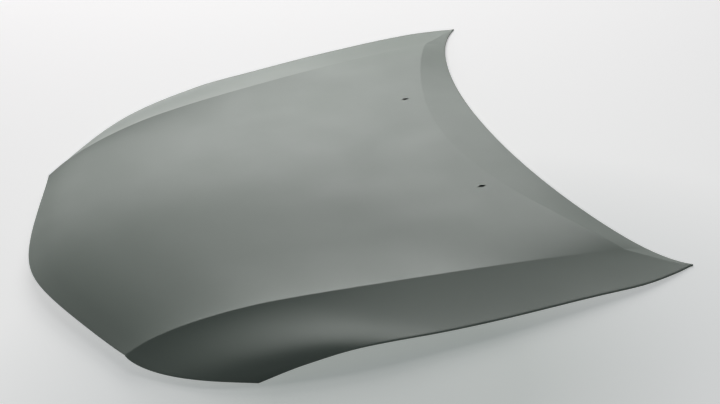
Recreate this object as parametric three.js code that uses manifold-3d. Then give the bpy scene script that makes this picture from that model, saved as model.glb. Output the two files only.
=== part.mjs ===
// Car bonnet: a pressed outer skin hemmed round a stamped inner frame, with its hinge and
// latch reinforcements. Millimetres, +Z up, nose towards -Y, +X is the car's left side.
// It lies as it rests on a floor, on its two rear tips and its two front corners.

import * as THREE from 'three';
import Module from 'manifold-3d';

// Outline of the panel, seen from above. AHEAD is a distance forward of the rear tips.
const LENGTH = 1305;
const TIP_WIDTH = 1470;
const TIP_END = 7;
const SIDE_SWELL = 54;
const FRONT_CORNER_WIDTH = 1360;
const FRONT_CORNER_AHEAD = 951;
const LAMP_CORNER_BULGE = 24;
const CREASE_FRONT_WIDTH = 938;
const CREASE_FRONT_AHEAD = 1182;
const CREASE_REAR_WIDTH = 1274;
const CREASE_REAR_AHEAD = 112;
const CREASE_BULGE = 10;
const NOSE_ROUNDING = 150;
const REAR_EDGE_AHEAD = 168;
const BAND_AHEAD = 279;

// Heights above the level of the tips.
const CENTRE_HEIGHT = 105;
const CREASE_HEIGHT = 80;
const SIDE_HEIGHT = 40;
const FLANK_WAVE = 0.03;
const REAR_EDGE_HEIGHT = 46;

// Sheet, hem and gaps.
const SKIN_SHEET = 0.7;
const FRAME_SHEET = 0.65;
const PLATE_SHEET = 2;
const FIT_GAP = 0.45;
const HEM_RADIUS = 2.2;
const HEM_FLANGE = 9;
const HEM_CLOSING = 0.45;

// Inner frame.
const CHANNEL_DEPTH = 19;
const LAND_DEPTH = 4;
const WINDOW_CORNER = 28;
const DRAIN_HOLE = 26;
const DRAIN_SLOT = 20;

// Hinge and latch seats.
const SEAT_MARGIN = 9;
const PLATE_CORNER = 7;
const HINGE_BOLT_SPACING = 34;
const HINGE_BOLT_HOLE = 9;
const NUT_ACROSS = 13;
const NUT_HEIGHT = 6.5;
const LATCH_BOLT_SPACING = 58;
const LATCH_BOLT_HOLE = 7;
const STRIKER_ROD = 8;
const STRIKER_SPAN = 32;
const STRIKER_DROP = 20;
const RIVET_SHANK = 5.8;
const RIVET_HEAD = 11;
const RIVET_HEAD_HEIGHT = 2;
const RIVET_SIDES = 12;

// Mastic between frame and skin, and the dent plate behind the nose.
const MASTIC_RADIUS = 8;
const DENT_PLATE_SHEET = 0.6;

// Washer jet slots.
const JET_SPACING = 536;
const JET_AHEAD = 293;
const JET_SLOT_LENGTH = 20;
const JET_SLOT_WIDTH = 6;
const JET_SLOT_BOSS = 9;

const wasm = await Module();
wasm.setup();

const SKIN_COLOUR = 0x858c87;
const STEEL_COLOUR = 0x8e9296;
const MASTIC_COLOUR = 0x3a3a3c;

const mix = THREE.MathUtils.lerp;
const clamp01 = (value) => Math.min(1, Math.max(0, value));

// A smooth curve through [place, value] pairs.
function through(points) {
  const slopes = points.map((point, i) => {
    const before = points[Math.max(i - 1, 0)];
    const after = points[Math.min(i + 1, points.length - 1)];
    return (after[1] - before[1]) / (after[0] - before[0]);
  });
  return (place) => {
    let i = 0;
    while (i < points.length - 2 && place > points[i + 1][0]) {
      i += 1;
    }
    const width = points[i + 1][0] - points[i][0];
    const t = (place - points[i][0]) / width;
    const rise = t * t * (3 - 2 * t);
    const lead = t * (1 - t) * (1 - t) * width * slopes[i];
    const tail = t * t * (1 - t) * width * slopes[i + 1];
    return mix(points[i][1], points[i + 1][1], rise) + lead - tail;
  };
}

// Shares of the heights above, from the rear end of each line (0) to its front end (1).
const centreLine = through([[0, 0.65], [0.25, 0.88], [0.5, 1], [0.7, 0.96], [0.85, 0.78], [0.94, 0.56], [1, 0.31]]);
const creaseLine = through([[0, 0.31], [0.16, 0.56], [0.35, 0.79], [0.53, 0.94], [0.7, 1],
  [0.79, 0.95], [0.88, 0.8], [0.95, 0.57], [1, 0.29]]);
const sideLine = through([[0, 0], [0.12, 0.18], [0.26, 0.42], [0.58, 0.78], [0.77, 1], [0.89, 0.66], [1, 0]]);
const sideSweep = through([[0, 0], [0.04, 0.45], [0.12, 0.98], [0.22, 1]]);
const sideTaper = through([[0.22, 0], [0.47, 0.08], [0.69, 0.33], [0.86, 0.62], [1, 1]]);

// Cross shapes, from the centre line (0) to the crease (1), and from the centre to a tip.
const crownAtBand = through([[0, 0], [0.3, 0.13], [0.6, 0.37], [0.8, 0.53], [1, 1]]);
const rearEdgeHeight = through([[0, 1], [0.27, 0.97], [0.53, 0.65], [0.73, 0.36], [0.91, 0.13], [1, 0]]);
const rearEdgeSweep = through([[0, 0], [0.38, 0.11], [0.53, 0.23], [0.73, 0.43], [0.91, 0.72], [1, 1]]);
const bandSweep = through([[0, 0], [0.39, 0.19], [0.6, 0.4], [0.78, 0.63], [0.95, 0.91], [1, 1]]);

// The crease between the centre panel and a flank; ahead is 0 at its rear end and 1 in front.
function creasePoint(ahead) {
  const across = mix(CREASE_REAR_WIDTH, CREASE_FRONT_WIDTH, ahead) / 2;
  return [
    across + CREASE_BULGE * Math.sin(Math.PI * ahead),
    mix(CREASE_REAR_AHEAD, CREASE_FRONT_AHEAD, ahead),
    CREASE_HEIGHT * creaseLine(ahead),
  ];
}

// The side edge, from the tip (0) to the front corner by the lamp (1).
function sidePoint(ahead) {
  const sweep = ahead < 0.22 ? sideSweep(ahead) : 1;
  const taper = ahead > 0.22 ? sideTaper(ahead) : 0;
  const widest = TIP_WIDTH + SIDE_SWELL;
  const across = mix(TIP_WIDTH, widest, sweep) + (FRONT_CORNER_WIDTH - widest) * taper;
  return [across / 2, mix(TIP_END, FRONT_CORNER_AHEAD, ahead), SIDE_HEIGHT * sideLine(ahead)];
}

// The rounded V of the front edge, from the nose (0) to the crease (1).
function frontEdgeAhead(across) {
  const half = CREASE_FRONT_WIDTH / 2;
  const rise = Math.hypot(across * half, NOSE_ROUNDING) - NOSE_ROUNDING;
  const full = Math.hypot(half, NOSE_ROUNDING) - NOSE_ROUNDING;
  return mix(LENGTH, CREASE_FRONT_AHEAD, rise / full);
}

function centrePanelPoint(ahead, across) {
  const crease = creasePoint(ahead);
  const bandAhead = mix(BAND_AHEAD, CREASE_REAR_AHEAD, bandSweep(across));
  const top = CENTRE_HEIGHT * centreLine(ahead);
  const fall = across * across;
  const valley = fall * (3 - 2 * across);
  const front = mix(fall, valley, Math.sin(Math.PI * clamp01(ahead)));
  const crown = mix(crownAtBand(across), front, clamp01(ahead * 3));
  return [
    across * crease[0],
    mix(bandAhead, frontEdgeAhead(across), ahead),
    mix(top, crease[2], crown),
  ];
}

// The flank is hollow in its middle and rolls over at the side edge; by the lamp it is all hollow.
function flankPoint(ahead, outward) {
  const crease = creasePoint(ahead);
  const side = sidePoint(ahead);
  const frontness = ahead ** 6;
  const wave = outward + FLANK_WAVE * Math.sin(2 * Math.PI * outward);
  const hollow = 1 - (1 - outward) ** 3;
  const bulge = LAMP_CORNER_BULGE * frontness * Math.sin(Math.PI * outward ** 0.72);
  return [
    mix(crease[0], side[0], outward),
    mix(crease[1], side[1], outward) + bulge,
    mix(crease[2], side[2], mix(wave, hollow, frontness)),
  ];
}

// The rear edge, at a share of the tip width.
function rearEdgePoint(across) {
  const share = across / (TIP_WIDTH / 2);
  return [across, REAR_EDGE_AHEAD * (1 - rearEdgeSweep(share)), REAR_EDGE_HEIGHT * rearEdgeHeight(share)];
}

function upperPoint(ahead, across) {
  return across <= 1 ? centrePanelPoint(ahead, across) : flankPoint(ahead, across - 1);
}

// A point of the skin's outer face. row: 0 front edge, 1 band line, 2 rear edge.
// column: 0 centre, 1 crease, 2 side edge, negative on the right.
function skinPoint(row, column) {
  const across = Math.abs(column);
  const point = upperPoint(1 - Math.min(row, 1), across);
  if (row > 1) {
    const rear = rearEdgePoint(point[0]);
    for (let axis = 0; axis < 3; axis += 1) {
      point[axis] = mix(point[axis], rear[axis], row - 1);
    }
  }
  return new THREE.Vector3(Math.sign(column) * point[0], LENGTH / 2 - point[1], point[2]);
}

// The pressing lines, shared by the skin and the frame under it, so that they nest.
const HALF_COLUMNS = [0.14, 0.27, 0.33, 0.37, 0.48, 0.52, 0.62, 0.78, 0.86, 0.91, 0.95,
  1, 1.15, 1.32, 1.52, 1.7, 1.86, 2];
const COLUMNS = [...HALF_COLUMNS.map((column) => -column).reverse(), 0, ...HALF_COLUMNS];
const ROWS = [0, 0.015, 0.05, 0.085, 0.12, 0.145, 0.2, 0.29, 0.38, 0.47, 0.51, 0.54, 0.6, 0.63, 0.67,
  0.75, 0.83, 0.865, 0.9, 0.95, 1, 1.25, 1.55, 1.78, 1.88, 2];

function plan(row, column) {
  const point = skinPoint(row, column);
  return new THREE.Vector2(point.x, point.y);
}

const SURFACE_STEP = 0.004;

function skinNormal(row, column) {
  const alongRow = skinPoint(row, Math.min(2, column + SURFACE_STEP))
    .sub(skinPoint(row, Math.max(-2, column - SURFACE_STEP)));
  const alongColumn = skinPoint(Math.max(0, row - SURFACE_STEP), column)
    .sub(skinPoint(Math.min(2, row + SURFACE_STEP), column));
  const normal = alongRow.clone().cross(alongColumn).normalize();
  return normal.z < 0 ? normal.negate() : normal;
}

// The offset that keeps a sheet's thickness on each side of a fold.
function foldedOffset(normals, thickness) {
  const offset = new THREE.Vector3();
  for (let pass = 0; pass < 60; pass += 1) {
    for (const normal of normals) {
      offset.addScaledVector(normal, (thickness - offset.dot(normal)) * 0.5);
    }
  }
  return offset;
}

// Rectangular field of points, in rows and columns, with its facets' normals.
class Sheet {
  constructor(points) {
    this.points = points;
    this.rows = points.length;
    this.columns = points[0].length;
  }

  facetNormals(row, column) {
    const centre = this.points[row][column];
    const ring = [[-1, 0], [0, 1], [1, 0], [0, -1]];
    const normals = [];
    ring.forEach(([rowStep, columnStep], k) => {
      const [nextRowStep, nextColumnStep] = ring[(k + 1) % 4];
      const first = this.points[row + rowStep]?.[column + columnStep];
      const second = this.points[row + nextRowStep]?.[column + nextColumnStep];
      if (first && second) {
        const normal = first.clone().sub(centre).cross(second.clone().sub(centre)).normalize();
        normals.push(normal.z < 0 ? normal.negate() : normal);
      }
    });
    return normals;
  }

  offsetDown(thickness) {
    return new Sheet(this.points.map((line, row) => line.map((point, column) => (
      point.clone().sub(foldedOffset(this.facetNormals(row, column), thickness))
    ))));
  }

  // Row and column of each edge point, once round.
  edge() {
    const loop = [];
    for (let column = 0; column < this.columns - 1; column += 1) {
      loop.push([0, column]);
    }
    for (let row = 0; row < this.rows - 1; row += 1) {
      loop.push([row, this.columns - 1]);
    }
    for (let column = this.columns - 1; column > 0; column -= 1) {
      loop.push([this.rows - 1, column]);
    }
    for (let row = this.rows - 1; row > 0; row -= 1) {
      loop.push([row, 0]);
    }
    return loop;
  }
}

// Closed body from an upper and a lower sheet, with rings of points carried round their edges:
// upperRings and lowerRings start at the sheets' own edges and end where they are joined.
function sheetSolid(upper, lower, upperRings = [], lowerRings = []) {
  const vertices = [];
  const triangles = [];
  const add = (point) => vertices.push(point) - 1;
  const quad = (a, b, c, d) => triangles.push([a, b, c], [a, c, d]);
  const upperIds = upper.points.map((line) => line.map(add));
  const lowerIds = lower.points.map((line) => line.map(add));
  for (let row = 0; row < upper.rows - 1; row += 1) {
    for (let column = 0; column < upper.columns - 1; column += 1) {
      const corners = [[row, column], [row + 1, column], [row + 1, column + 1], [row, column + 1]];
      const onRight = column < (upper.columns - 1) / 2;
      const turned = onRight ? [...corners.slice(1), corners[0]] : corners;
      const [a, b, c, d] = turned.map(([r, k]) => upperIds[r][k]);
      const [e, f, g, h] = turned.map(([r, k]) => lowerIds[r][k]);
      quad(a, b, c, d);
      quad(e, h, g, f);
    }
  }
  const loop = upper.edge();
  const chains = [
    loop.map(([row, column]) => upperIds[row][column]),
    ...upperRings.map((ring) => ring.map(add)),
    ...lowerRings.map((ring) => ring.map(add)).reverse(),
    loop.map(([row, column]) => lowerIds[row][column]),
  ];
  for (let k = 0; k < chains.length - 1; k += 1) {
    for (let i = 0; i < loop.length; i += 1) {
      const next = (i + 1) % loop.length;
      quad(chains[k][i], chains[k][next], chains[k + 1][next], chains[k + 1][i]);
    }
  }
  return closedGeometry(vertices, triangles);
}

function closedGeometry(vertices, triangles) {
  let volume = 0;
  for (const [a, b, c] of triangles) {
    volume += vertices[a].dot(vertices[b].clone().cross(vertices[c]));
  }
  const faces = volume < 0 ? triangles.map(([a, b, c]) => [a, c, b]) : triangles;
  const geometry = new THREE.BufferGeometry();
  geometry.setAttribute('position', new THREE.Float32BufferAttribute(vertices.flatMap((v) => v.toArray()), 3));
  geometry.setIndex(faces.flat());
  return geometry;
}

// Boolean cuts.
function toManifold(geometry) {
  const position = geometry.getAttribute('position');
  const places = new Map();
  const remap = [];
  const vertices = [];
  for (let i = 0; i < position.count; i += 1) {
    const point = [position.getX(i), position.getY(i), position.getZ(i)];
    const key = point.map((value) => Math.round(value * 1000)).join(' ');
    if (!places.has(key)) {
      places.set(key, places.size);
      vertices.push(...point);
    }
    remap.push(places.get(key));
  }
  const index = geometry.index ? Array.from(geometry.index.array) : remap.map((_, i) => i);
  const triangles = [];
  for (let i = 0; i < index.length; i += 3) {
    const [a, b, c] = [remap[index[i]], remap[index[i + 1]], remap[index[i + 2]]];
    if (a !== b && b !== c && c !== a) {
      triangles.push(a, b, c);
    }
  }
  return new wasm.Manifold(new wasm.Mesh({
    numProp: 3,
    vertProperties: new Float32Array(vertices),
    triVerts: new Uint32Array(triangles),
  }));
}

function fromManifold(solid) {
  const mesh = solid.getMesh();
  const geometry = new THREE.BufferGeometry();
  geometry.setAttribute('position', new THREE.Float32BufferAttribute(mesh.vertProperties, 3));
  geometry.setIndex(Array.from(mesh.triVerts));
  return geometry;
}

function cut(geometry, tools) {
  let solid = toManifold(geometry);
  for (const tool of tools) {
    solid = solid.subtract(toManifold(tool));
  }
  return fromManifold(solid);
}

function join(geometries) {
  return fromManifold(geometries.map(toManifold).reduce((whole, next) => whole.add(next)));
}

// Upright prism of an outline, from bottom to top.
function prism(shape, bottom, top, curveSegments = 5) {
  const geometry = new THREE.ExtrudeGeometry(shape, { depth: top - bottom, bevelEnabled: false, curveSegments });
  return geometry.translate(0, 0, bottom);
}

function roundedOutline(corners, radius) {
  const shape = new THREE.Shape();
  corners.forEach((corner, i) => {
    const before = corners[(i + corners.length - 1) % corners.length];
    const after = corners[(i + 1) % corners.length];
    const start = corner.clone().add(before.clone().sub(corner).setLength(radius));
    const end = corner.clone().add(after.clone().sub(corner).setLength(radius));
    if (i === 0) {
      shape.moveTo(start.x, start.y);
    } else {
      shape.lineTo(start.x, start.y);
    }
    shape.quadraticCurveTo(corner.x, corner.y, end.x, end.y);
  });
  shape.closePath();
  return shape;
}

function rectangle(length, width, radius, x = 0, y = 0) {
  const corners = [[1, 1], [-1, 1], [-1, -1], [1, -1]];
  return roundedOutline(corners.map(([sx, sy]) => (
    new THREE.Vector2(x + sx * length / 2, y + sy * width / 2)
  )), radius);
}

function disc(x, y, diameter) {
  return new THREE.Shape().absarc(x, y, diameter / 2, 0, 2 * Math.PI);
}

// Outer skin: the pressed sheet with its rope hem, and the two washer jet slots.
const skinSheet = new Sheet(ROWS.map((row) => COLUMNS.map((column) => skinPoint(row, column))));

// The hem: at each edge point the sheet rolls over and comes back under the frame's flange.
function hemRings(sheet) {
  const loop = sheet.edge();
  const at = ([row, column]) => sheet.points[row][column];
  const inside = ([row, column]) => sheet.points[
    THREE.MathUtils.clamp(row, 1, sheet.rows - 2)][THREE.MathUtils.clamp(column, 1, sheet.columns - 2)];
  const frames = loop.map((place, i) => {
    const before = at(loop[(i + loop.length - 1) % loop.length]);
    const after = at(loop[(i + 1) % loop.length]);
    const along = after.clone().sub(before).normalize();
    const inward = inside(place).clone().sub(at(place));
    const square = inward.clone().addScaledVector(along, -inward.dot(along));
    return {
      point: at(place),
      normal: foldedOffset(sheet.facetNormals(...place), 1),
      out: square.clone().normalize().negate(),
      flange: inward.multiplyScalar(Math.min(HEM_FLANGE / square.length(), 0.8)),
    };
  });
  const closedDrop = SKIN_SHEET + FIT_GAP + FRAME_SHEET + FIT_GAP + SKIN_SHEET;
  const ring = (outward, inward, down) => frames.map((frame) => frame.point.clone()
    .addScaledVector(frame.out, outward)
    .addScaledVector(frame.flange, inward)
    .addScaledVector(frame.normal, -down));
  const roll = (inset) => [1 / 3, 2 / 3, 1].map((share) => {
    const turn = Math.PI * share;
    const radius = HEM_RADIUS - inset;
    return ring(radius * Math.sin(turn), 0, HEM_RADIUS - radius * Math.cos(turn));
  });
  const flange = (inset) => [
    ring(0, HEM_CLOSING, closedDrop - inset),
    ring(0, 1, closedDrop - inset),
  ];
  return {
    outer: [...roll(0), ...flange(0)],
    inner: [...roll(SKIN_SHEET), ...flange(SKIN_SHEET)],
  };
}

// A fore and aft slot with a wider middle, cut right through the skin.
function jetSlot(side) {
  const x = side * JET_SPACING / 2;
  const y = LENGTH / 2 - JET_AHEAD;
  const slot = prism(rectangle(JET_SLOT_WIDTH, JET_SLOT_LENGTH, JET_SLOT_WIDTH / 3, x, y), 0, CENTRE_HEIGHT, 3);
  return join([slot, prism(disc(x, y, JET_SLOT_BOSS), 0, CENTRE_HEIGHT, 8)]);
}

function outerSkin() {
  const hem = hemRings(skinSheet);
  const solid = sheetSolid(skinSheet, skinSheet.offsetDown(SKIN_SHEET), hem.outer, hem.inner);
  return cut(solid, [jetSlot(1), jetSlot(-1)]);
}

// Inner frame: channels under the edges and ribs, lands glued to the skin, and flat seats.
const within = (value, low, high) => value >= low && value <= high;
const isChannelColumn = (across) => within(across, 0.37, 0.48) || within(across, 0.95, 1.7);
const isChannelRow = (row) => within(row, 0.05, 0.12) || within(row, 0.54, 0.6) || within(row, 0.9, 1.55);
const isFlange = (row, across) => row <= 0.015 || row >= 1.88 || across >= 1.86;
const FRAME_DROP = SKIN_SHEET + FIT_GAP;
const FULL_DEPTH_HEIGHT = 34;

// Depth of the frame's upper face under the skin's outer face.
function frameDepth(row, across, height) {
  if (isFlange(row, across)) {
    return FRAME_DROP;
  }
  const depth = isChannelColumn(across) || isChannelRow(row) ? CHANNEL_DEPTH : LAND_DEPTH;
  return mix(FRAME_DROP, depth, clamp01(height / FULL_DEPTH_HEIGHT));
}

// Flat seats pressed into the channel floors: their rows, columns and level.
const seat = (rows, columns) => ({ rows, columns });
const HINGE_SEAT = seat([0.95, 1.25], [0.78, 0.91]);
const LATCH_SEAT = seat([0.05, 0.12], [-0.14, 0.14]);
const STOP_SEAT = seat([0.085, 0.12], [0.78, 0.86]);

function seatLevel({ rows, columns }) {
  const corners = rows.flatMap((row) => columns.map((column) => skinPoint(row, column).z));
  return Math.min(...corners) - CHANNEL_DEPTH;
}

// Outline of a plate that lies in a seat, on the left or the right side.
function seatCorners({ rows: [front, rear], columns: [low, high] }, side) {
  const corners = [plan(front, low), plan(rear, low), plan(rear, high), plan(front, high)];
  const mirror = new THREE.Vector2(side, 1);
  const centre = new THREE.Vector2();
  corners.forEach((corner) => centre.addScaledVector(corner.multiply(mirror), 1 / corners.length));
  corners.forEach((corner) => corner.add(centre.clone().sub(corner).setLength(SEAT_MARGIN)));
  return side > 0 ? corners : corners.reverse();
}

const FRAME_INSET = 0.02;

function framePoint(row, column) {
  const across = Math.abs(column);
  const placeRow = THREE.MathUtils.clamp(row, FRAME_INSET / 6, 2 - FRAME_INSET);
  const placeColumn = THREE.MathUtils.clamp(column, FRAME_INSET - 2, 2 - FRAME_INSET);
  const point = skinPoint(placeRow, placeColumn);
  point.addScaledVector(skinNormal(placeRow, placeColumn), -frameDepth(row, across, point.z));
  for (const flat of [HINGE_SEAT, LATCH_SEAT, STOP_SEAT]) {
    if (within(row, ...flat.rows) && within(across, Math.max(0, flat.columns[0]), flat.columns[1])) {
      point.z = seatLevel(flat);
    }
  }
  return point;
}

const frameSheet = new Sheet(ROWS.map((row) => COLUMNS.map((column) => framePoint(row, column))));

// Lightening windows between the ribs: the rows and columns of their edges.
const FRONT_WINDOW_ROWS = [0.2, 0.47];
const REAR_WINDOW_ROWS = [0.67, 0.83];
const CENTRE_WINDOW_COLUMNS = [-0.27, 0.27];
const SIDE_WINDOW_COLUMNS = [0.62, 0.86];

function windowCut([front, rear], [left, right]) {
  const corners = [plan(front, left), plan(rear, left), plan(rear, right), plan(front, right)];
  return prism(roundedOutline(corners, WINDOW_CORNER), 0, CENTRE_HEIGHT * 1.2);
}

function windowCuts() {
  const mirrored = SIDE_WINDOW_COLUMNS.map((column) => -column).reverse();
  return [FRONT_WINDOW_ROWS, REAR_WINDOW_ROWS].flatMap((rows) => (
    [CENTRE_WINDOW_COLUMNS, SIDE_WINDOW_COLUMNS, mirrored].map((columns) => windowCut(rows, columns))
  ));
}

// Drain holes along the channel floors, on both sides.
const DRAIN_PLACES = [[0.335, 1.4], [0.71, 1.4], [0.57, 0.74], [1.1, 0.2], [1.1, 0.57]];

function drainCuts() {
  return DRAIN_PLACES.flatMap(([row, column]) => [1, -1].map((side) => {
    const place = plan(row, side * column);
    return prism(rectangle(DRAIN_HOLE, DRAIN_SLOT, DRAIN_SLOT / 2.2, place.x, place.y), 0, CENTRE_HEIGHT, 2);
  }));
}

// Two bolt places along the middle of a seat.
function boltPlaces(flat, spacing, side) {
  const [a, b, c, d] = seatCorners(flat, side);
  const start = a.clone().add(b).divideScalar(2);
  const end = c.clone().add(d).divideScalar(2);
  const along = end.clone().sub(start).setLength(spacing / 2);
  const centre = start.add(end).divideScalar(2);
  return [centre.clone().sub(along), centre.clone().add(along)];
}

function boltCuts(flat, spacing, diameter, side) {
  const level = seatLevel(flat);
  return boltPlaces(flat, spacing, side).map((place) => (
    prism(disc(place.x, place.y, diameter), level - NUT_HEIGHT, level + NUT_HEIGHT, 6)
  ));
}

function innerFrame() {
  const solid = sheetSolid(frameSheet, frameSheet.offsetDown(FRAME_SHEET));
  return cut(solid, [
    ...windowCuts(),
    ...drainCuts(),
    ...boltCuts(HINGE_SEAT, HINGE_BOLT_SPACING, HINGE_BOLT_HOLE, 1),
    ...boltCuts(HINGE_SEAT, HINGE_BOLT_SPACING, HINGE_BOLT_HOLE, -1),
    ...boltCuts(LATCH_SEAT, LATCH_BOLT_SPACING, LATCH_BOLT_HOLE, 1),
  ]);
}

// Plate with two bolt holes, lying on a seat or under it.
function boltedPlate(flat, side, places, bottom, hole) {
  const shape = roundedOutline(seatCorners(flat, side), PLATE_CORNER);
  shape.holes = places.map((place) => new THREE.Path().absarc(place.x, place.y, hole / 2, 0, 2 * Math.PI));
  return prism(shape, bottom, bottom + PLATE_SHEET, 5);
}

function hexNut(place, bottom) {
  const shape = new THREE.Shape();
  for (let k = 0; k < 6; k += 1) {
    const turn = (k * Math.PI) / 3;
    const radius = NUT_ACROSS / Math.sqrt(3);
    const corner = [place.x + radius * Math.cos(turn), place.y + radius * Math.sin(turn)];
    if (k === 0) {
      shape.moveTo(...corner);
    } else {
      shape.lineTo(...corner);
    }
  }
  shape.closePath();
  shape.holes = [new THREE.Path().absarc(place.x, place.y, HINGE_BOLT_HOLE / 2, 0, 2 * Math.PI)];
  return prism(shape, bottom, bottom + NUT_HEIGHT, 5);
}

// The latch striker: a base plate under the seat with the bent rod welded to it.
function latchStriker(places, top) {
  const plate = boltedPlate(LATCH_SEAT, 1, places, top - PLATE_SHEET, LATCH_BOLT_HOLE);
  const centre = places[0].clone().add(places[1]).divideScalar(2);
  const half = (STRIKER_SPAN - STRIKER_ROD) / 2;
  const path = new THREE.CurvePath();
  const point = (x, down) => new THREE.Vector3(centre.x + x, centre.y, top - down);
  const bend = half * 0.8;
  path.add(new THREE.LineCurve3(point(-half, PLATE_SHEET / 2), point(-half, STRIKER_DROP - bend)));
  path.add(new THREE.QuadraticBezierCurve3(
    point(-half, STRIKER_DROP - bend), point(-half, STRIKER_DROP), point(bend - half, STRIKER_DROP)));
  path.add(new THREE.LineCurve3(point(bend - half, STRIKER_DROP), point(half - bend, STRIKER_DROP)));
  path.add(new THREE.QuadraticBezierCurve3(
    point(half - bend, STRIKER_DROP), point(half, STRIKER_DROP), point(half, STRIKER_DROP - bend)));
  path.add(new THREE.LineCurve3(point(half, STRIKER_DROP - bend), point(half, PLATE_SHEET / 2)));
  const rod = new THREE.ExtrudeGeometry(disc(0, 0, STRIKER_ROD), {
    extrudePath: path, steps: 16, bevelEnabled: false, curveSegments: 5,
  });
  return join([cut(plate, places.map((place) => countersink(place, top - PLATE_SHEET))), rod]);
}

// Right-angled countersink for a rivet head, opening downwards at the given level.
function countersink(place, level) {
  const cone = new THREE.ConeGeometry(RIVET_HEAD, RIVET_HEAD, RIVET_SIDES);
  return cone.rotateX(Math.PI / 2).translate(place.x, place.y, level);
}

// A rivet through the plates of the latch seat: countersunk and flush below, headed on top.
function latchRivet(place, bottom, top) {
  const flush = RIVET_HEAD / 2 - FIT_GAP;
  const profile = [
    [0, bottom], [flush, bottom], [RIVET_SHANK / 2, bottom + flush - RIVET_SHANK / 2],
    [RIVET_SHANK / 2, top], [RIVET_HEAD / 2, top],
    [RIVET_HEAD / 3, top + RIVET_HEAD_HEIGHT], [0, top + RIVET_HEAD_HEIGHT],
  ];
  const geometry = new THREE.LatheGeometry(profile.map(([x, y]) => new THREE.Vector2(x, y)), RIVET_SIDES);
  return geometry.rotateX(Math.PI / 2).translate(place.x, place.y, 0);
}

// The dent plate: a thin sheet behind the nose, lying along the skin.
function dentPlate() {
  const rows = ROWS.filter((row) => within(row, 0.05, 0.12));
  const columns = COLUMNS.filter((column) => within(Math.abs(column), 0, 0.37));
  const upper = new Sheet(rows.map((row) => columns.map((column) => (
    skinPoint(row, column).addScaledVector(skinNormal(row, column), -FRAME_DROP)
  ))));
  return sheetSolid(upper, upper.offsetDown(DENT_PLATE_SHEET));
}

// Mastic beads between the lands and the skin.
const MASTIC_PLACES = [[0.19, 0.14], [0.49, 0.2], [0.65, 0.2], [0.848, 0.2], [0.38, 0.57], [0.38, 0.885],
  [0.75, 0.885]];

function masticBead(row, column) {
  const point = skinPoint(row, column);
  const normal = skinNormal(row, column);
  const thickness = LAND_DEPTH - SKIN_SHEET - 2 * FIT_GAP;
  const geometry = new THREE.CylinderGeometry(MASTIC_RADIUS, MASTIC_RADIUS, thickness, 10).rotateX(Math.PI / 2);
  const mesh = new THREE.Mesh(geometry);
  mesh.position.copy(point).addScaledVector(normal, -(SKIN_SHEET + FIT_GAP + thickness / 2));
  mesh.quaternion.setFromUnitVectors(new THREE.Vector3(0, 0, 1), normal);
  return mesh;
}

const group = new THREE.Group();

function paint(mesh, name, color, roughness, metalness) {
  mesh.name = name;
  mesh.material = new THREE.MeshStandardMaterial({ color, roughness, metalness });
  group.add(mesh);
}

paint(new THREE.Mesh(outerSkin()), 'outer_skin', SKIN_COLOUR, 0.42, 0.1);
paint(new THREE.Mesh(innerFrame()), 'inner_frame', SKIN_COLOUR, 0.5, 0.1);
paint(new THREE.Mesh(dentPlate()), 'front_dent_plate', SKIN_COLOUR, 0.5, 0.1);

for (const [label, side] of [['left', 1], ['right', -1]]) {
  const places = boltPlaces(HINGE_SEAT, HINGE_BOLT_SPACING, side);
  const bottom = seatLevel(HINGE_SEAT) + FIT_GAP;
  const plate = boltedPlate(HINGE_SEAT, side, places, bottom, HINGE_BOLT_HOLE);
  paint(new THREE.Mesh(plate), `hinge_reinforcement_${label}`, SKIN_COLOUR, 0.5, 0.1);
  places.forEach((place, i) => {
    const nut = hexNut(place, bottom + PLATE_SHEET + FIT_GAP);
    paint(new THREE.Mesh(nut), `hinge_nut_${label}_${i + 1}`, STEEL_COLOUR, 0.35, 0.9);
  });
}

const latchPlaces = boltPlaces(LATCH_SEAT, LATCH_BOLT_SPACING, 1);
const latchTop = seatLevel(LATCH_SEAT) + FIT_GAP;
const strikerTop = seatLevel(LATCH_SEAT) - FRAME_SHEET - FIT_GAP;
const latchPlate = boltedPlate(LATCH_SEAT, 1, latchPlaces, latchTop, LATCH_BOLT_HOLE);
paint(new THREE.Mesh(latchPlate), 'latch_reinforcement', SKIN_COLOUR, 0.5, 0.1);
paint(new THREE.Mesh(latchStriker(latchPlaces, strikerTop)), 'latch_striker', STEEL_COLOUR, 0.35, 0.9);
latchPlaces.forEach((place, i) => {
  const rivet = latchRivet(place, strikerTop - PLATE_SHEET, latchTop + PLATE_SHEET + FIT_GAP);
  paint(new THREE.Mesh(rivet), `latch_rivet_${i + 1}`, STEEL_COLOUR, 0.35, 0.9);
});

MASTIC_PLACES.forEach(([row, column], i) => {
  for (const [label, side] of [['left', 1], ['right', -1]]) {
    paint(masticBead(row, side * column), `mastic_bead_${label}_${i + 1}`, MASTIC_COLOUR, 0.7, 0);
  }
});

// The origin is under the middle of the panel, on the floor that it rests on.
const box = new THREE.Box3().setFromObject(group);
group.position.set(0, -(box.min.y + box.max.y) / 2, -box.min.z);

export default group;
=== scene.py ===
import math

import bmesh
import bpy
from mathutils import Matrix, Vector


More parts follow.
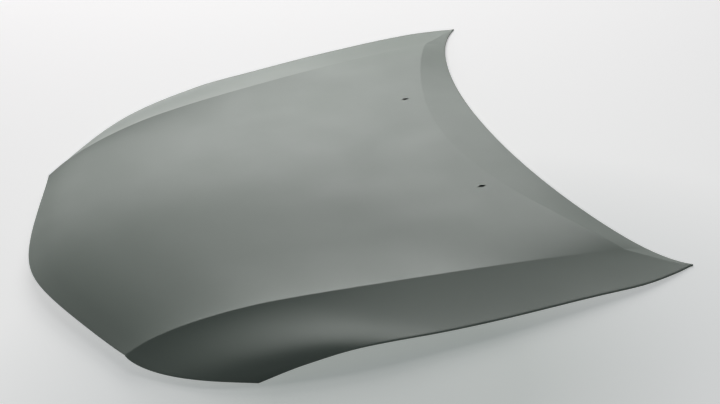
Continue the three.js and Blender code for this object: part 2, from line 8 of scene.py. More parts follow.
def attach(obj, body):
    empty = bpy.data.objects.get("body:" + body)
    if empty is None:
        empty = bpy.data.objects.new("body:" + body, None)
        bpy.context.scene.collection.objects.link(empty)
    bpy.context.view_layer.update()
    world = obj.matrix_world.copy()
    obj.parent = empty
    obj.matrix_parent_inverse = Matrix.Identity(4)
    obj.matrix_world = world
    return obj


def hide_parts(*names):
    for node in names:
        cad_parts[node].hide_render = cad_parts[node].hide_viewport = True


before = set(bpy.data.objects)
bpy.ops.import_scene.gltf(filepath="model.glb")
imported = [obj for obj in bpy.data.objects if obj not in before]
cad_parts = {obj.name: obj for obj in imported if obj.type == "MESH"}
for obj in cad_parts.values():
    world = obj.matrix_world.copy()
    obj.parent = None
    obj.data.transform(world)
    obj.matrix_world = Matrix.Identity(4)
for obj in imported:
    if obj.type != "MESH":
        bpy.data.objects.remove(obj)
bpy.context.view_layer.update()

MM = 0.001

# Outline of the panel in millimetres, as in the model: AHEAD is forward of the rear tips.
LENGTH = 1305
TIP_WIDTH = 1470
TIP_END = 7
SIDE_SWELL = 54
FRONT_CORNER_WIDTH = 1360
FRONT_CORNER_AHEAD = 951
LAMP_CORNER_BULGE = 24
CREASE_FRONT_WIDTH = 938
CREASE_FRONT_AHEAD = 1182
CREASE_REAR_WIDTH = 1274
CREASE_REAR_AHEAD = 112
CREASE_BULGE = 10
NOSE_ROUNDING = 150
REAR_EDGE_AHEAD = 168
BAND_AHEAD = 279

# Heights above the level of the tips.
CENTRE_HEIGHT = 105
CREASE_HEIGHT = 80
SIDE_HEIGHT = 40
REAR_EDGE_HEIGHT = 46

# Shares of these heights, from the rear end of each line (0) to its front end (1).
CENTRE_LINE = [(0, 0.65), (0.25, 0.88), (0.5, 1), (0.7, 0.96), (0.85, 0.78), (0.94, 0.56), (1, 0.31)]
CREASE_LINE = [(0, 0.31), (0.16, 0.56), (0.35, 0.79), (0.53, 0.94), (0.7, 1),
               (0.79, 0.95), (0.88, 0.8), (0.95, 0.57), (1, 0.29)]
SIDE_LINE = [(0, 0), (0.12, 0.18), (0.26, 0.42), (0.58, 0.78), (0.77, 1), (0.89, 0.66), (1, 0)]

# The side edge swells out to its widest place, then tapers to the front corner.
WIDEST_PLACE = 0.22
SIDE_SWEEP = [(0, 0), (0.04, 0.45), (0.12, 0.98), (WIDEST_PLACE, 1)]
SIDE_TAPER = [(WIDEST_PLACE, 0), (0.47, 0.08), (0.69, 0.33), (0.86, 0.62), (1, 1)]

# Cross shapes from the centre line to the crease or the tip. Three numbers are two powers and the
# second one's share.
BAND_CROWN = (1.2, 9, 0.38)
BAND_CROWN_FADE = 3
BAND_SWEEP_POWER = 1.8
REAR_EDGE_SWEEP = (2.1, 14, 0.15)
REAR_EDGE_CROWN = (2.2, 1.4)

# The front half of each crease stands up as a soft ridge, and the flank under it is hollow.
RIDGE_LIFT = 5.5
RIDGE_REACH = (0.4, 0.8)
RIDGE_INNER_POWER = 10
RIDGE_OUTER_POWER = 6
FLANK_HOLLOW = 0.3
HOLLOW_REACH = (1, 0.6)

# Front end of the flank, over the lamp.
LAMP_END_POWER = 6
LAMP_HOLLOW_POWER = 3
LAMP_BULGE_LEAN = 0.72

# Shoulder of the flank over the lamp: its lift, its reach, and how far it leans out and forward
# for each millimetre of lift.
SHOULDER_LIFT = 12.5
SHOULDER_REACH = (0.62, 0.95, 0.95, 1.15)
SHOULDER_LEAN = 1.6
SHOULDER_OUT = 1.8
SHOULDER_FORWARD = 0.43

# Sheet and hem.
SKIN_SHEET = 0.7
HEM_RADIUS = 2.2
HEM_FLANGE = 9
HEM_FLANGE_LIMIT = 0.8
HEM_LOOK_IN = 3
HEM_CLOSING = 0.45
CLOSED_HEM = 2.95
ROLL_STEPS = 8

# Lines of the fine skin, closer together at the nose, the creases and the band line.
SKIN_ROWS = [(0, 10), (0.1, 14), (0.35, 20), (0.9, 6), (0.985, 4), (1.03, 3), (1.2, 10), (1.9, 2), (2, 1)]
SKIN_COLUMNS = [(0, 20), (0.9, 6), (0.985, 3), (1, 3), (1.02, 5), (1.15, 16), (1.9, 4), (2, 1)]

# Inner frame: its channels, lands and windows, and the levels of its seats.
FRAME_SHEET = 0.65
FRAME_DROP = 1.15
FRAME_INSET = 0.02
FRAME_FRONT_INSET = FRAME_INSET / 6
FRAME_SLOPE_STEP = 0.004
CHANNEL_DEPTH = 19
LAND_DEPTH = 4
FULL_DEPTH_HEIGHT = 34
WINDOW_CORNER = 28
DRAIN_HOLE = 26
DRAIN_SLOT = 20
DRAIN_CORNER = DRAIN_SLOT / 2.2
CORNER_STEPS = 8
HINGE_BOLT_HOLE = 9
LATCH_BOLT_HOLE = 7
BOLT_SIDES = 24
BOLT_CUT_RISE = 4
BOLT_CUT_REACH = 6
HINGE_LEVEL = 10.3
LATCH_LEVEL = 35.94
STOP_LEVEL = 39.26

# Plateaus of the frame in rows and columns of the skin: foot, low, high and end. One that starts
# below 0 reaches the centre line. A seat's level comes first.
CHANNEL_ROWS = ((0.015, 0.05, 0.12, 0.145), (0.51, 0.54, 0.6, 0.63), (0.865, 0.9, 1.55, 1.78))
CHANNEL_COLUMNS = ((0.33, 0.37, 0.48, 0.52), (0.91, 0.95, 1.7, 1.86))
FULL_DEPTH_ROWS = (0.015, 0.05, 1.78, 1.88)
FULL_DEPTH_COLUMNS = (-2, -1, 1.7, 1.86)
SEATS = (
    (HINGE_LEVEL, (0.9, 0.94, 1.27, 1.5), (0.66, 0.77, 0.92, 0.95)),
    (LATCH_LEVEL, (0.02, 0.045, 0.122, 0.142), (-2, -1, 0.15, 0.26)),
    (STOP_LEVEL, (0.055, 0.08, 0.122, 0.142), (0.66, 0.77, 0.87, 0.905)))

# Places of the windows and drains in rows and columns of the skin.
WINDOW_ROWS = ((0.2, 0.47), (0.67, 0.83))
WINDOW_COLUMNS = ((-0.27, 0.27), (0.62, 0.86), (-0.86, -0.62))
DRAIN_PLACES = ((0.335, 1.4), (0.71, 1.4), (0.57, 0.74), (1.1, 0.2), (1.1, 0.57))

# Lines of the inner frame, as in the model. Each stretch between two of them gets FRAME_STEPS steps.
FRAME_ROWS = [0, 0.015, 0.05, 0.085, 0.12, 0.145, 0.2, 0.29, 0.38, 0.47, 0.51, 0.54, 0.6, 0.63, 0.67,
              0.75, 0.83, 0.865, 0.9, 0.95, 1, 1.25, 1.55, 1.78, 1.88, 2]
FRAME_COLUMNS = [0, 0.14, 0.27, 0.33, 0.37, 0.48, 0.52, 0.62, 0.78, 0.86, 0.91, 0.95, 1, 1.15, 1.32,
                 1.52, 1.7, 1.86, 2]
FRAME_STEPS = 4

# Washer jet slots.
JET_SPACING = 536
JET_AHEAD = 293
JET_SLOT_LENGTH = 20
JET_SLOT_WIDTH = 7.5
JET_SLOT_BOSS = 11
JET_SLOT_STEPS = 24

# Cutters reach this high, and an edge sharper than this angle in degrees isn't smoothed.
ABOVE_PANEL = CENTRE_HEIGHT * 1.2
SHARP_ANGLE = 40

# Darker and lighter colour of each material, and the primer's gloss.
SKIN_PRIMER = ((0.25, 0.292, 0.25), (0.275, 0.321, 0.274))
FRAME_PRIMER = ((0.19, 0.21, 0.20), (0.24, 0.26, 0.25))
ZINC = ((0.36, 0.37, 0.38), (0.55, 0.56, 0.57))
MASTIC = ((0.02, 0.02, 0.021), (0.045, 0.045, 0.047))
SKIN_ROUGHNESS = 0.44
FRAME_ROUGHNESS = 0.5
GLOSS_SPREAD = 0.025
PRIMER_SPECULAR = 0.28

# A noise lies mostly between these values.
NOISE_LOW = 0.3
NOISE_HIGH = 0.7

# Camera and light, in metres.
CAMERA_PLACE = Vector((4.0974, -0.8290, 2.2180))
CAMERA_FORWARD = Vector((-0.8585, 0.2023, -0.4712))
CAMERA_UP = Vector((-0.4125, 0.2732, 0.8690))
CAMERA_LENS = 100.0
CAMERA_SENSOR = 36.0
CAMERA_REACH = 100.0
FLOOR_SIZE = 40.0
FLOOR_COLOUR = (0.80, 0.79, 0.77, 1)
# The floor's emission is dimmer in a soft pool beside the panel's near edge and paler further off: a
# painted shadow.
FLOOR_GLOW_AND_PAINTED_SHADOW = [(0.0, (0.27, 0.29, 0.28)), (0.1, (0.28, 0.30, 0.29)), (0.24, (0.42, 0.43, 0.43)),
              (0.4, (0.53, 0.53, 0.53)), (1.0, (0.47, 0.46, 0.47))]
FLOOR_PAINTED_SHADOW_PLACE = (0.85, -0.05, 0.0)
FLOOR_PAINTED_SHADOW_REACH = 2.5

# Studio lamps: azimuth from +X and height in degrees, and power in watts.
LAMPS = {"key": (152, 30, 60), "low": (180, 12, 32), "high": (172, 60, 36), "centre": (166, 28, 26),
         "corner": (225, 15, 12)}
LAMP_DISTANCE = 5.0
LAMP_SIZE = 2.4
WORLD_STRENGTH = 0.04
WORLD_COLOUR = (0.62, 0.83, 1.0, 1)
BACKDROP_COLOUR = (0.84, 0.84, 0.85, 1)


def mix(start, end, share):
    return start + (end - start) * share


def clamp01(value):
    return min(1.0, max(0.0, value))


def through(points):
    """A smooth curve through (place, value) pairs."""
    slopes = []
    for i in range(len(points)):
        before = points[max(i - 1, 0)]
        after = points[min(i + 1, len(points) - 1)]
        slopes.append((after[1] - before[1]) / (after[0] - before[0]))

    def value(place):
        i = 0
        while i < len(points) - 2 and place > points[i + 1][0]:
            i += 1
        width = points[i + 1][0] - points[i][0]
        t = (place - points[i][0]) / width
        rise = t * t * (3 - 2 * t)
        lead = t * (1 - t) * (1 - t) * width * slopes[i]
        tail = t * t * (1 - t) * width * slopes[i + 1]
        return mix(points[i][1], points[i + 1][1], rise) + lead - tail

    return value


centre_line = through(CENTRE_LINE)
crease_line = through(CREASE_LINE)
side_line = through(SIDE_LINE)
side_sweep = through(SIDE_SWEEP)
side_taper = through(SIDE_TAPER)


def mixed_power(value, first, second, share):
    return mix(value ** first, value ** second, share)


def smooth_step(value, start, end):
    """Goes smoothly from 0 at the start to 1 at the end, which may lie below the start."""
    share = clamp01((value - start) / (end - start))
    return share * share * (3 - 2 * share)


def plateau(value, foot, low, high, end):
    """1 between low and high, falling smoothly to 0 at the foot and the end."""
    return smooth_step(value, foot, low) * smooth_step(value, end, high)


def crease_point(ahead):
    across = mix(CREASE_REAR_WIDTH, CREASE_FRONT_WIDTH, ahead) / 2
    return (across + CREASE_BULGE * math.sin(math.pi * ahead),
            mix(CREASE_REAR_AHEAD, CREASE_FRONT_AHEAD, ahead),
            CREASE_HEIGHT * crease_line(ahead))


def side_point(ahead):
    sweep = side_sweep(ahead) if ahead < WIDEST_PLACE else 1
    taper = side_taper(ahead) if ahead > WIDEST_PLACE else 0
    widest = TIP_WIDTH + SIDE_SWELL
    across = mix(TIP_WIDTH, widest, sweep) + (FRONT_CORNER_WIDTH - widest) * taper
    return (across / 2, mix(TIP_END, FRONT_CORNER_AHEAD, ahead), SIDE_HEIGHT * side_line(ahead))


def front_edge_ahead(across):
    half = CREASE_FRONT_WIDTH / 2
    rise = math.hypot(across * half, NOSE_ROUNDING) - NOSE_ROUNDING
    full = math.hypot(half, NOSE_ROUNDING) - NOSE_ROUNDING
    return mix(LENGTH, CREASE_FRONT_AHEAD, rise / full)


def centre_panel_point(ahead, across):
    crease = crease_point(ahead)
    band_ahead = mix(BAND_AHEAD, CREASE_REAR_AHEAD, across ** BAND_SWEEP_POWER)
    top = CENTRE_HEIGHT * centre_line(ahead)
    fall = across * across
    valley = fall * (3 - 2 * across)
    front = mix(fall, valley, math.sin(math.pi * clamp01(ahead)))
    crown = mix(mixed_power(across, *BAND_CROWN), front, clamp01(ahead * BAND_CROWN_FADE))
    ridge = RIDGE_LIFT * smooth_step(ahead, *RIDGE_REACH) * across ** RIDGE_INNER_POWER
    return (across * crease[0],
            mix(band_ahead, front_edge_ahead(across), ahead),
            mix(top, crease[2], crown) + ridge)


def flank_point(ahead, outward):
    crease = crease_point(ahead)
    side = side_point(ahead)
    frontness = ahead ** LAMP_END_POWER
    side_fall = outward + FLANK_HOLLOW * smooth_step(ahead, *HOLLOW_REACH) * outward * (1 - outward)
    lamp_fall = 1 - (1 - outward) ** LAMP_HOLLOW_POWER
    bulge = LAMP_CORNER_BULGE * frontness * math.sin(math.pi * outward ** LAMP_BULGE_LEAN)
    swell = math.sin(math.pi * outward ** SHOULDER_LEAN)
    lift = SHOULDER_LIFT * plateau(ahead, *SHOULDER_REACH) * swell
    ridge = RIDGE_LIFT * smooth_step(ahead, *RIDGE_REACH) * (1 - outward) ** RIDGE_OUTER_POWER
    return (mix(crease[0], side[0], outward) + SHOULDER_OUT * lift,
            mix(crease[1], side[1], outward) + bulge + SHOULDER_FORWARD * lift,
            mix(crease[2], side[2], mix(side_fall, lamp_fall, frontness)) + lift + ridge)


def rear_edge_point(across):
    share = across / (TIP_WIDTH / 2)
    fall, fullness = REAR_EDGE_CROWN
    return (across,
            REAR_EDGE_AHEAD * (1 - mixed_power(share, *REAR_EDGE_SWEEP)),
            REAR_EDGE_HEIGHT * max(0.0, 1 - share ** fall) ** fullness)


def skin_point(row, column):
    """A point of the outer face; row: 0 front edge, 1 band line, 2 rear edge; column: 0 centre,
    1 crease, 2 side edge, negative on the right."""
    across = abs(column)
    ahead = 1 - min(row, 1)
    point = centre_panel_point(ahead, across) if across <= 1 else flank_point(ahead, across - 1)
    if row > 1:
        rear = rear_edge_point(point[0])
        point = tuple(mix(point[axis], rear[axis], row - 1) for axis in range(3))
    side = -1 if column < 0 else 1
    return Vector((side * point[0], LENGTH / 2 - point[1], point[2]))


def spread(stops):
    """Stations from (place, steps to the next) pairs."""
    places = []
    for (start, steps), (end, _) in zip(stops, stops[1:]):
        places += [mix(start, end, k / steps) for k in range(steps)]
    return places + [stops[-1][0]]


def mirrored(half):
    """Places on both sides of the centre from those on the left."""
    return [-place for place in half[:0:-1]] + half


def facet_normals(points, row, column):
    centre = points[row][column]
    ring = ((-1, 0), (0, 1), (1, 0), (0, -1))
    normals = []
    for (row_step, column_step), (next_row, next_column) in zip(ring, ring[1:] + ring[:1]):
        first = (row + row_step, column + column_step)
        second = (row + next_row, column + next_column)
        inside = all(0 <= r < len(points) and 0 <= c < len(points[0]) for r, c in (first, second))
        if inside:
            normal = (points[first[0]][first[1]] - centre).cross(points[second[0]][second[1]] - centre)
            normals.append(normal.normalized() * (1 if normal.z > 0 else -1))
    return normals


def mean_normal(points, row, column):
    return sum(facet_normals(points, row, column), Vector()).normalized()


def edge_loop(rows, columns):
    loop = [(0, column) for column in range(columns - 1)]
    loop += [(row, columns - 1) for row in range(rows - 1)]
    loop += [(rows - 1, column) for column in range(columns - 1, 0, -1)]
    loop += [(row, 0) for row in range(rows - 1, 0, -1)]
    return loop


def hem_rings(points, loop, inset):
    """Rings of points round the edge: the sheet rolls over and comes back under itself."""
    last_row = len(points) - 1
    last_column = len(points[0]) - 1
    frames = []
    for i, (row, column) in enumerate(loop):
        place = points[row][column]
        before = points[loop[i - 1][0]][loop[i - 1][1]]
        following = loop[(i + 1) % len(loop)]
        along = (points[following[0]][following[1]] - before).normalized()
        inner_row = min(max(row, HEM_LOOK_IN), last_row - HEM_LOOK_IN)
        inner_column = min(max(column, HEM_LOOK_IN), last_column - HEM_LOOK_IN)
        inward = points[inner_row][inner_column] - place
        square = inward - along * inward.dot(along)
        normal = mean_normal(points, row, column)
        square -= normal * square.dot(normal)
        flange = inward * min(HEM_FLANGE / square.length, HEM_FLANGE_LIMIT)
        frames.append((place, normal, -square.normalized(), flange))
    rings = []
    radius = HEM_RADIUS - inset
    for k in range(1, ROLL_STEPS + 1):
        turn = math.pi * k / ROLL_STEPS
        down = HEM_RADIUS - radius * math.cos(turn)
        rings.append([p + out * radius * math.sin(turn) - n * down for p, n, out, _ in frames])
    for share in (HEM_CLOSING, 1):
        rings.append([p + flange * share - n * (CLOSED_HEM - inset) for p, n, _, flange in frames])
    return rings


def lower_side(points, thickness):
    return [[point - mean_normal(points, row, column) * thickness for column, point in enumerate(line)]
            for row, line in enumerate(points)]


def sheet_faces(rows, columns):
    """Faces of a sheet's upper side and of its lower side, whose points follow the upper ones."""
    half = rows * columns
    faces = []
    for row in range(rows - 1):
        for column in range(columns - 1):
            start = row * columns + column
            quad = [start, start + columns, start + columns + 1, start + 1]
            faces.append(quad)
            faces.append([half + i for i in reversed(quad)])
    return faces


def bridge(chains):
    """Faces between each closed chain of points and the next."""
    faces = []
    for first, second in zip(chains, chains[1:]):
        for i in range(len(first)):
            j = (i + 1) % len(first)
            faces.append([first[i], first[j], second[j], second[i]])
    return faces


def rest_shift(vertices):
    """Moves the panel onto the floor, with its middle over the origin."""
    depths = [vertex.y for vertex in vertices]
    return Vector((0, -(min(depths) + max(depths)) / 2, -min(vertex.z for vertex in vertices)))


def mesh_object(name, vertices, faces, smooth=True):
    mesh = bpy.data.meshes.new(name)
    mesh.from_pydata([v * MM for v in vertices], [], faces)
    mesh.validate()
    bm = bmesh.new()
    bm.from_mesh(mesh)
    bmesh.ops.recalc_face_normals(bm, faces=bm.faces)
    bm.to_mesh(mesh)
    bm.free()
    for polygon in mesh.polygons:
        polygon.use_smooth = smooth
    obj = bpy.data.objects.new(name, mesh)
    bpy.context.scene.collection.objects.link(obj)
    return obj


def make_skin():
    column_lines = mirrored(spread(SKIN_COLUMNS))
    points = [[skin_point(row, column) for column in column_lines] for row in spread(SKIN_ROWS)]
    rows = len(points)
    columns = len(points[0])
    loop = edge_loop(rows, columns)
    rim = [row * columns + column for row, column in loop]
    vertices = [point for line in points + lower_side(points, SKIN_SHEET) for point in line]
    chains = [rim]
    for ring in hem_rings(points, loop, 0) + hem_rings(points, loop, SKIN_SHEET)[::-1]:
        chains.append(list(range(len(vertices), len(vertices) + len(ring))))
        vertices += ring
    chains.append([rows * columns + i for i in rim])
    faces = sheet_faces(rows, columns) + bridge(chains)
    shift = rest_shift(vertices)
    skin = mesh_object("skin", [vertex + shift for vertex in vertices], faces)
    cut(skin, [prism(jet_outline(side), shift) for side in (1, -1)])
    return skin, shift


def prism(outline, shift, bottom=0.0, top=ABOVE_PANEL):
    """Vertices and faces of an upright prism of an outline."""
    count = len(outline)
    vertices = [Vector((x, y, z)) + shift for z in (bottom, top) for x, y in outline]
    faces = [list(range(count))[::-1], list(range(count, 2 * count))]
    faces += [[i, (i + 1) % count, count + (i + 1) % count, count + i] for i in range(count)]
    return vertices, faces


def cut(obj, prisms):
    """Cuts prisms that don't touch each other out of an object."""
    vertices = []
    faces = []
    for prism_vertices, prism_faces in prisms:
        faces += [[len(vertices) + i for i in face] for face in prism_faces]
        vertices += prism_vertices
    cutter = mesh_object("cutter", vertices, faces, smooth=False)
    modifier = obj.modifiers.new("holes", "BOOLEAN")
    modifier.operation = "DIFFERENCE"
    modifier.solver = "EXACT"
    modifier.object = cutter
    evaluated = obj.evaluated_get(bpy.context.evaluated_depsgraph_get())
    mesh = bpy.data.meshes.new_from_object(evaluated)
    obj.modifiers.clear()
    obj.data = mesh
    mesh.set_sharp_from_angle(angle=math.radians(SHARP_ANGLE))
    bpy.data.objects.remove(cutter)


def jet_outline(side):
    """A fore and aft slot with pointed ends and a round middle."""
    half = []
    for k in range(JET_SLOT_STEPS + 1):
        y = JET_SLOT_LENGTH / 2 * math.cos(math.pi * k / JET_SLOT_STEPS)
        lens = JET_SLOT_WIDTH / 2 * (1 - (2 * y / JET_SLOT_LENGTH) ** 2)
        boss = math.sqrt(max(0.0, (JET_SLOT_BOSS / 2) ** 2 - y * y))
        half.append((max(lens, boss), y))
    outline = half + [(-x, y) for x, y in half[-2:0:-1]]
    return [(side * JET_SPACING / 2 + x, LENGTH / 2 - JET_AHEAD + y) for x, y in outline]


def frame_depth(row, across, height):
    """Depth of the frame's upper face under the skin's outer face."""
    by_row = [plateau(row, *stops) for stops in CHANNEL_ROWS]
    by_column = [plateau(across, *stops) for stops in CHANNEL_COLUMNS]
    depth = mix(LAND_DEPTH, CHANNEL_DEPTH, max(by_row + by_column))
    inside = plateau(row, *FULL_DEPTH_ROWS) * plateau(across, *FULL_DEPTH_COLUMNS)
    return mix(FRAME_DROP, depth, inside * clamp01(height / FULL_DEPTH_HEIGHT))


def skin_normal(row, column):
    """The upward normal, from points a small step to each side."""
    step = FRAME_SLOPE_STEP
    across = skin_point(row, min(2, column + step)) - skin_point(row, max(-2, column - step))
    along = skin_point(min(2, row + step), column) - skin_point(max(0, row - step), column)
    normal = across.cross(along).normalized()
    return normal * (1 if normal.z > 0 else -1)


def frame_point(row, column):
    place_row = min(max(row, FRAME_FRONT_INSET), 2 - FRAME_INSET)
    place_column = min(max(column, FRAME_INSET - 2), 2 - FRAME_INSET)
    point = skin_point(place_row, place_column)
    point -= skin_normal(place_row, place_column) * frame_depth(row, abs(column), point.z)
    for level, seat_rows, seat_columns in SEATS:
        share = plateau(row, *seat_rows) * plateau(abs(column), *seat_columns)
        point.z = mix(point.z, level, share)
    return point


def rounded_outline(corners, radius):
    outline = []
    for i, corner in enumerate(corners):
        start = corner + (corners[i - 1] - corner).normalized() * radius
        end = corner + (corners[(i + 1) % len(corners)] - corner).normalized() * radius
        for k in range(CORNER_STEPS + 1):
            t = k / CORNER_STEPS
            point = start * (1 - t) ** 2 + corner * 2 * t * (1 - t) + end * t * t
            outline.append((point.x, point.y))
    return outline


def window_outlines():
    outlines = []
    for front, rear in WINDOW_ROWS:
        for left, right in WINDOW_COLUMNS:
            places = ((front, left), (rear, left), (rear, right), (front, right))
            corners = [Vector(skin_point(row, column)[:2]) for row, column in places]
            outlines.append(rounded_outline(corners, WINDOW_CORNER))
    return outlines


def drain_outlines():
    outlines = []
    for row, column in DRAIN_PLACES:
        for side in (1, -1):
            x, y, _ = skin_point(row, side * column)
            corners = [Vector((x + sx * DRAIN_HOLE / 2, y + sy * DRAIN_SLOT / 2))
                       for sx, sy in ((1, 1), (-1, 1), (-1, -1), (1, -1))]
            outlines.append(rounded_outline(corners, DRAIN_CORNER))
    return outlines


def bolt_prisms():
    """Holes in the frame under the hinge nuts and the latch rivets."""
    turns = [2 * math.pi * k / BOLT_SIDES for k in range(BOLT_SIDES)]
    prisms = []
    for name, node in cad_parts.items():
        if "nut" in name or "rivet" in name:
            hole = HINGE_BOLT_HOLE if "nut" in name else LATCH_BOLT_HOLE
            level = (HINGE_LEVEL if "nut" in name else LATCH_LEVEL) + BOLT_CUT_RISE
            corners = [node.matrix_world @ Vector(corner) / MM for corner in node.bound_box]
            centre = sum(corners, Vector()) / len(corners)
            outline = [(hole / 2 * math.cos(turn), hole / 2 * math.sin(turn)) for turn in turns]
            place = Vector((centre.x, centre.y, 0))
            prisms.append(prism(outline, place, level - BOLT_CUT_REACH, level + BOLT_CUT_REACH))
    return prisms


def make_inner_frame(shift):
    row_lines = spread([(row, FRAME_STEPS) for row in FRAME_ROWS])
    column_lines = mirrored(spread([(column, FRAME_STEPS) for column in FRAME_COLUMNS]))
    points = [[frame_point(row, column) for column in column_lines] for row in row_lines]
    rows = len(points)
    columns = len(points[0])
    vertices = [point + shift for line in points + lower_side(points, FRAME_SHEET) for point in line]
    rim = [row * columns + column for row, column in edge_loop(rows, columns)]
    faces = sheet_faces(rows, columns) + bridge([rim, [rows * columns + i for i in rim]])
    inner = mesh_object("frame_panel", vertices, faces)
    outlines = window_outlines() + drain_outlines()
    cut(inner, [prism(outline, shift) for outline in outlines] + bolt_prisms())
    return inner


def new_material(name):
    material = bpy.data.materials.new(name)
    material.use_nodes = True
    nodes = material.node_tree.nodes
    return material, nodes, material.node_tree.links, nodes["Principled BSDF"]


def add_noise(nodes, links, scale, detail, roughness=0.5):
    place = nodes.new("ShaderNodeTexCoord")
    noise = nodes.new("ShaderNodeTexNoise")
    noise.inputs["Scale"].default_value = scale
    noise.inputs["Detail"].default_value = detail
    noise.inputs["Roughness"].default_value = roughness
    links.new(place.outputs["Object"], noise.inputs["Vector"])
    return noise.outputs["Fac"]


def add_ramp(nodes, links, source, stops):
    ramp = nodes.new("ShaderNodeValToRGB")
    for i, (position, colour) in enumerate(stops):
        element = ramp.color_ramp.elements[i] if i < 2 else ramp.color_ramp.elements.new(position)
        element.position = position
        element.color = (*colour, 1)
    links.new(source, ramp.inputs["Fac"])
    return ramp.outputs["Color"]


def add_colour(nodes, links, noise, shader, colours):
    """A colour that wanders between a darker and a lighter one with the noise."""
    dark, light = colours
    colour = add_ramp(nodes, links, noise, [(NOISE_LOW, dark), (NOISE_HIGH, light)])
    links.new(colour, shader.inputs["Base Color"])


def add_gloss(nodes, links, noise, shader, low, high):
    """A roughness that wanders between two values with the noise."""
    reach = nodes.new("ShaderNodeMapRange")
    reach.inputs["From Min"].default_value = NOISE_LOW
    reach.inputs["From Max"].default_value = NOISE_HIGH
    reach.inputs["To Min"].default_value = low
    reach.inputs["To Max"].default_value = high
    links.new(noise, reach.inputs["Value"])
    links.new(reach.outputs["Result"], shader.inputs["Roughness"])


def add_bump(nodes, links, noise, shader, strength, distance):
    bump = nodes.new("ShaderNodeBump")
    bump.inputs["Strength"].default_value = strength
    bump.inputs["Distance"].default_value = distance
    links.new(noise, bump.inputs["Height"])
    links.new(bump.outputs["Normal"], shader.inputs["Normal"])


def primer_material(name, colours, roughness):
    """Satin electrocoat primer: faint cloudiness, a fine orange peel and a low sheen."""
    material, nodes, links, shader = new_material(name)
    clouds = add_noise(nodes, links, scale=2.6, detail=4.0)
    patches = add_noise(nodes, links, scale=9.0, detail=3.0)
    peel = add_noise(nodes, links, scale=900.0, detail=2.0)
    add_colour(nodes, links, clouds, shader, colours)
    add_gloss(nodes, links, patches, shader, roughness - GLOSS_SPREAD, roughness + GLOSS_SPREAD)
    add_bump(nodes, links, peel, shader, strength=0.06, distance=0.0004)
    shader.inputs["Specular IOR Level"].default_value = PRIMER_SPECULAR
    return material


def zinc_material():
    """Dull zinc plate with a spangled grain."""
    material, nodes, links, shader = new_material("zinc_steel")
    grain = add_noise(nodes, links, scale=260.0, detail=4.0, roughness=0.7)
    add_colour(nodes, links, grain, shader, ZINC)
    add_gloss(nodes, links, grain, shader, low=0.28, high=0.45)
    add_bump(nodes, links, grain, shader, strength=0.15, distance=0.0003)
    shader.inputs["Metallic"].default_value = 0.9
    return material


def mastic_material():
    """Cured black mastic with a soft lumpy skin."""
    material, nodes, links, shader = new_material("mastic")
    lumps = add_noise(nodes, links, scale=180.0, detail=3.0)
    add_colour(nodes, links, lumps, shader, MASTIC)
    add_bump(nodes, links, lumps, shader, strength=0.3, distance=0.001)
    shader.inputs["Roughness"].default_value = 0.75
    return material


def seen_rays(nodes, links):
    """1 for what the camera sees, also as a reflection or through glass."""
    rays = nodes.new("ShaderNodeLightPath")
    seen = rays.outputs["Is Camera Ray"]
    for kind in ("Is Glossy Ray", "Is Transmission Ray"):
        either = nodes.new("ShaderNodeMath")
        either.operation = "MAXIMUM"
        links.new(seen, either.inputs[0])
        links.new(rays.outputs[kind], either.inputs[1])
        seen = either.outputs["Value"]
    return seen


def floor_material():
    """Seamless pale paper, lit through so that it stays pale, with a painted shadow: dimmer in a soft pool
    beside the panel.
    """
    material, nodes, links, shader = new_material("floor")
    shader.inputs["Base Color"].default_value = FLOOR_COLOUR
    shader.inputs["Roughness"].default_value = 0.9
    shader.inputs["Specular IOR Level"].default_value = 0.0
    # Painted shadow: the emission is dimmest at a place beside the panel's near edge and grows paler with
    # distance from it.
    place = nodes.new("ShaderNodeTexCoord")
    from_painted_shadow = nodes.new("ShaderNodeVectorMath")
    from_painted_shadow.operation = "DISTANCE"
    from_painted_shadow.inputs[1].default_value = FLOOR_PAINTED_SHADOW_PLACE
    links.new(place.outputs["Object"], from_painted_shadow.inputs[0])
    reach = nodes.new("ShaderNodeMapRange")
    reach.inputs["From Max"].default_value = FLOOR_PAINTED_SHADOW_REACH
    links.new(from_painted_shadow.outputs["Value"], reach.inputs["Value"])
    glow_with_painted_shadow = nodes.new("ShaderNodeEmission")
    links.new(add_ramp(nodes, links, reach.outputs["Result"], FLOOR_GLOW_AND_PAINTED_SHADOW), glow_with_painted_shadow.inputs["Color"])
    links.new(seen_rays(nodes, links), glow_with_painted_shadow.inputs["Strength"])
    both = nodes.new("ShaderNodeAddShader")
    links.new(shader.outputs["BSDF"], both.inputs[0])
    links.new(glow_with_painted_shadow.outputs["Emission"], both.inputs[1])
    links.new(both.outputs["Shader"], nodes["Material Output"].inputs["Surface"])
    return material


def make_camera():
    back = -CAMERA_FORWARD.normalized()
    right = CAMERA_UP.cross(back).normalized()
    up = back.cross(right)
    data = bpy.data.cameras.new("camera")
    data.lens = CAMERA_LENS
    data.sensor_width = CAMERA_SENSOR
    data.clip_end = CAMERA_REACH
    camera = bpy.data.objects.new("camera", data)
    camera.matrix_world = Matrix.Translation(CAMERA_PLACE) @ Matrix((right, up, back)).transposed().to_4x4()
    bpy.context.scene.collection.objects.link(camera)
    bpy.context.scene.camera = camera


def make_floor():
    half = FLOOR_SIZE / 2 / MM
    corners = [Vector((x * half, y * half, 0)) for x, y in ((-1, -1), (1, -1), (1, 1), (-1, 1))]
    floor = mesh_object("floor", corners, [[0, 1, 2, 3]], smooth=False)
    floor.data.materials.append(floor_material())


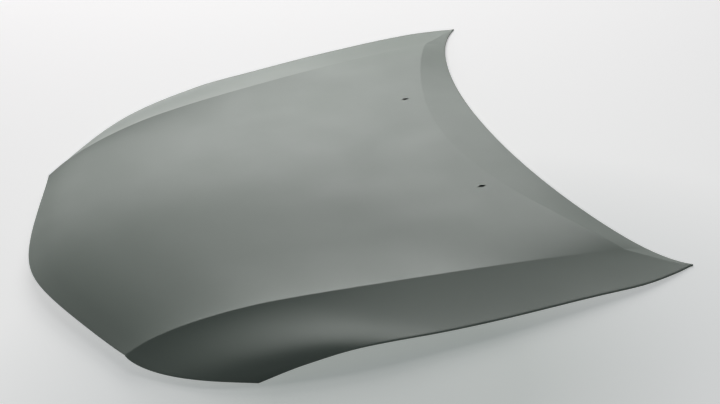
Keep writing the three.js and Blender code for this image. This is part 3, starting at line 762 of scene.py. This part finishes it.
def make_lamp(name, azimuth, height, power):
    turn = math.radians(azimuth)
    lift = math.radians(height)
    place = Vector((math.cos(lift) * math.cos(turn), math.cos(lift) * math.sin(turn), math.sin(lift)))
    data = bpy.data.lights.new(name, "AREA")
    data.size = LAMP_SIZE
    data.energy = power
    lamp = bpy.data.objects.new(name, data)
    lamp.location = place * LAMP_DISTANCE
    lamp.rotation_euler = (-place).to_track_quat("-Z", "Y").to_euler()
    bpy.context.scene.collection.objects.link(lamp)


def make_light():
    for name, (azimuth, height, power) in LAMPS.items():
        make_lamp(name, azimuth, height, power)
    world = bpy.data.worlds.new("studio")
    bpy.context.scene.world = world
    world.use_nodes = True
    nodes = world.node_tree.nodes
    links = world.node_tree.links
    shine = nodes["Background"]
    shine.inputs["Color"].default_value = WORLD_COLOUR
    shine.inputs["Strength"].default_value = WORLD_STRENGTH
    backdrop = nodes.new("ShaderNodeBackground")
    backdrop.inputs["Color"].default_value = BACKDROP_COLOUR
    choose = nodes.new("ShaderNodeMixShader")
    links.new(seen_rays(nodes, links), choose.inputs["Fac"])
    links.new(shine.outputs["Background"], choose.inputs[1])
    links.new(backdrop.outputs["Background"], choose.inputs[2])
    links.new(choose.outputs["Shader"], nodes["World Output"].inputs["Surface"])


def finish_nodes():
    """Gives every solid that stays in view its material."""
    frame_primer = primer_material("frame_primer", FRAME_PRIMER, FRAME_ROUGHNESS)
    zinc = zinc_material()
    mastic = mastic_material()
    for name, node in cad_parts.items():
        if name.startswith("mastic"):
            material = mastic
        elif name == "latch_striker" or "nut" in name or "rivet" in name:
            material = zinc
        else:
            material = frame_primer
        node.data.materials.clear()
        node.data.materials.append(material)


bpy.context.scene.view_settings.view_transform = "Standard"
make_camera()
make_floor()
make_light()
finish_nodes()

skin, panel_shift = make_skin()
skin.data.materials.append(primer_material("skin_primer", SKIN_PRIMER, SKIN_ROUGHNESS))
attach(skin, "root")
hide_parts("outer_skin")

inner_frame = make_inner_frame(panel_shift)
inner_frame.data.materials.append(bpy.data.materials["frame_primer"])
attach(inner_frame, "root")
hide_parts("inner_frame")
